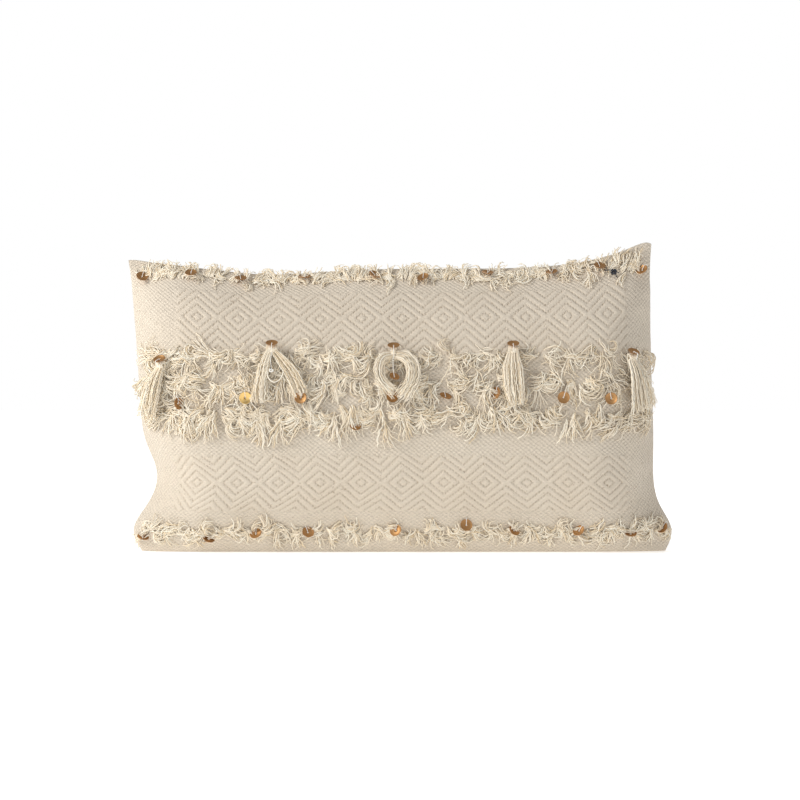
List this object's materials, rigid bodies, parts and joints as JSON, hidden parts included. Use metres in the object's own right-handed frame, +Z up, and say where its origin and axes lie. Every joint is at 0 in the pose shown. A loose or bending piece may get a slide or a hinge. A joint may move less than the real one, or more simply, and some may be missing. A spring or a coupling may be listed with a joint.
{
  "type": "throw pillow",
  "caption": "Long fringed throw pillow: woven cotton cover with yarn fringes, hanging tassels and sewn sequins, a zip in the back and a removable fibre insert.",
  "frame": {"origin": "on the floor under the bottom seam, halfway along it", "axes": "+X to the right along the long side, -Y out of the decorated front, +Z up; the pillow stands on its long lower edge"},
  "size_m": [0.5046, 0.1301, 0.2858],
  "materials": {
    "woven_cover": "matte",
    "yarn": "matte",
    "thread": "matte",
    "sequin": "satin",
    "insert_case": "matte",
    "filling": "matte",
    "zip_tape": "matte",
    "zip_coil": "satin",
    "zip_metal": "satin"
  },
  "bodies": {
    "cushion": {"cover_front": "woven_cover", "cover_back_upper": "woven_cover", "cover_back_lower": "woven_cover", "insert_case_front": "insert_case", "insert_case_back": "insert_case", "filling": "filling", "zip_tape_upper": "zip_tape", "zip_tape_lower": "zip_tape", "zip_coil_upper": "zip_coil", "zip_coil_lower": "zip_coil", "zip_bottom_stop": "zip_metal", "zip_top_stop_upper": "zip_metal", "zip_top_stop_lower": "zip_metal", "fringe_top": "yarn", "fringe_upper": "yarn", "fringe_middle": "yarn", "fringe_lower": "yarn", "fringe_bottom": "yarn", "sequins_top": "sequin", "sequins_middle": "sequin", "sequins_bottom": "sequin", "sequin_ties_top": "thread", "sequin_ties_middle": "thread", "sequin_ties_bottom": "thread", "tassel_far_left_stitch": "thread", "tassel_left_stitch": "thread", "tassel_centre_stitch": "thread", "tassel_right_stitch": "thread", "tassel_far_right_stitch": "thread"},
    "slider": {"zip_slider": "zip_metal"},
    "pull": {"zip_pull": "zip_metal"},
    "far_left_tassel": {"tassel_far_left_hank": "yarn", "tassel_far_left_tie": "thread", "tassel_far_left_sequin": "sequin"},
    "left_tassel": {"tassel_left_hank": "yarn", "tassel_left_tie": "thread", "tassel_left_sequin": "sequin"},
    "centre_tassel": {"tassel_centre_hank": "yarn", "tassel_centre_tie": "thread", "tassel_centre_sequin": "sequin"},
    "right_tassel": {"tassel_right_hank": "yarn", "tassel_right_tie": "thread", "tassel_right_sequin": "sequin"},
    "far_right_tassel": {"tassel_far_right_hank": "yarn", "tassel_far_right_tie": "thread", "tassel_far_right_sequin": "sequin"}
  },
  "joints": [
    {"name": "zip_slide", "type": "slide", "parent": "cushion", "child": "slider", "axis": [-1, 0, 0], "range_m": [0, 0.28]},
    {"name": "pull_flip", "type": "hinge", "parent": "slider", "child": "pull", "pos_m": [0.14, 0.05609, 0.07161], "axis": [0, 0.1809, 0.9835], "range_deg": [0, 180]},
    {"name": "far_left_tassel_lift", "type": "hinge", "parent": "cushion", "child": "far_left_tassel", "pos_m": [-0.2162, -0.04837, 0.17247], "axis": [-0.8405, 0.5418, 0], "range_deg": [0, 150]},
    {"name": "left_tassel_lift", "type": "hinge", "parent": "cushion", "child": "left_tassel", "pos_m": [-0.11494, -0.05782, 0.18617], "axis": [-1, -0.0008, 0], "range_deg": [0, 150]},
    {"name": "centre_tassel_lift", "type": "hinge", "parent": "cushion", "child": "centre_tassel", "pos_m": [-0.005, -0.05861, 0.18397], "axis": [-1, 0.0005, 0], "range_deg": [0, 150]},
    {"name": "right_tassel_lift", "type": "hinge", "parent": "cushion", "child": "right_tassel", "pos_m": [0.10299, -0.05822, 0.18559], "axis": [-1, 0.001, 0], "range_deg": [0, 150]},
    {"name": "far_right_tassel_lift", "type": "hinge", "parent": "cushion", "child": "far_right_tassel", "pos_m": [0.21146, -0.04475, 0.17893], "axis": [-0.8108, -0.5853, 0], "range_deg": [0, 150]}
  ]
}
